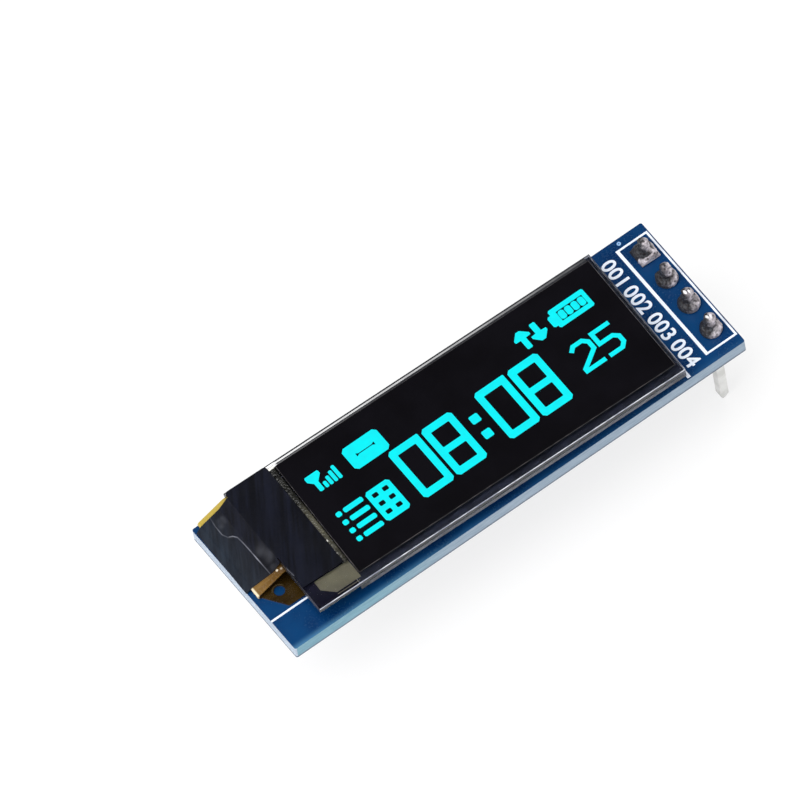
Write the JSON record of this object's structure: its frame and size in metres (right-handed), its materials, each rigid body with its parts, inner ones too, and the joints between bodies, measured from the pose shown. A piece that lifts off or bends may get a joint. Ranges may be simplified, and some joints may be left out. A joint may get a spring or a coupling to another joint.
{
  "type": "small display module",
  "caption": "Small glass display panel on a narrow blue circuit board, with a folded flexible circuit under black tape and a pin header at the other end.",
  "frame": {"origin": "middle of the pin row, on the underside of the header's insulator, where the header seats on its socket", "axes": "+X from the flexible circuit's end to the header's end, +Y to the module's back edge, +Z out of the display"},
  "size_m": [0.0381, 0.0122, 0.0112],
  "materials": {
    "board_blue": "glass fibre laminate with satin blue solder mask",
    "print_white": "printed white ink",
    "header_black": "moulded, satin",
    "pin_metal": "tin plated, satin",
    "solder": "soft solder, uneven",
    "panel_glass": "polished, cut edges",
    "seal_dark": "cured resin",
    "emitter_cyan": "thin lit layer",
    "desiccant_grey": "pressed sheet",
    "polarizer_black": "glossy film",
    "trace_tan": "thin metal film under glass",
    "coating_dark": "thin dark coating",
    "chip_silicon": "polished",
    "flex_amber": "amber film, glossy",
    "tape_black": "black tape with faint streaks",
    "foam_black": "double sided foam",
    "capacitor_tan": "fired, matte",
    "resistor_black": "glazed top",
    "end_cap_tin": "tinned",
    "package_black": "moulded, matte",
    "lead_tin": "tinned"
  },
  "bodies": {
    "root": {"black_tape": "tape_black", "cap_glass": "panel_glass", "capacitor_1": "capacitor_tan", "capacitor_1_end_caps": "end_cap_tin", "capacitor_2": "capacitor_tan", "capacitor_2_end_caps": "end_cap_tin", "capacitor_3": "capacitor_tan", "capacitor_3_end_caps": "end_cap_tin", "capacitor_4": "capacitor_tan", "capacitor_4_end_caps": "end_cap_tin", "capacitor_5": "capacitor_tan", "capacitor_5_end_caps": "end_cap_tin", "capacitor_6": "capacitor_tan", "capacitor_6_end_caps": "end_cap_tin", "capacitor_7": "capacitor_tan", "capacitor_7_end_caps": "end_cap_tin", "chip_part_solder": "solder", "circuit_board": "board_blue", "contact_solder": "solder", "desiccant_sheet": "desiccant_grey", "driver_chip": "chip_silicon", "edge_seal": "seal_dark", "emitter_layer": "emitter_cyan", "flexible_circuit": "flex_amber", "foam_tape": "foam_black", "header_insulator": "header_black", "ledge_coating": "coating_dark", "ledge_traces": "trace_tan", "pin_1": "pin_metal", "pin_2": "pin_metal", "pin_3": "pin_metal", "pin_4": "pin_metal", "polarizer": "polarizer_black", "printed_lines": "print_white", "regulator_body": "package_black", "regulator_leads": "lead_tin", "resistor_1": "resistor_black", "resistor_1_end_caps": "end_cap_tin", "resistor_2": "resistor_black", "resistor_2_end_caps": "end_cap_tin", "resistor_3": "resistor_black", "resistor_3_end_caps": "end_cap_tin", "resistor_4": "resistor_black", "resistor_4_end_caps": "end_cap_tin", "solder_joint_1": "solder", "solder_joint_2": "solder", "solder_joint_3": "solder", "solder_joint_4": "solder", "substrate_glass": "panel_glass"}
  },
  "joints": []
}
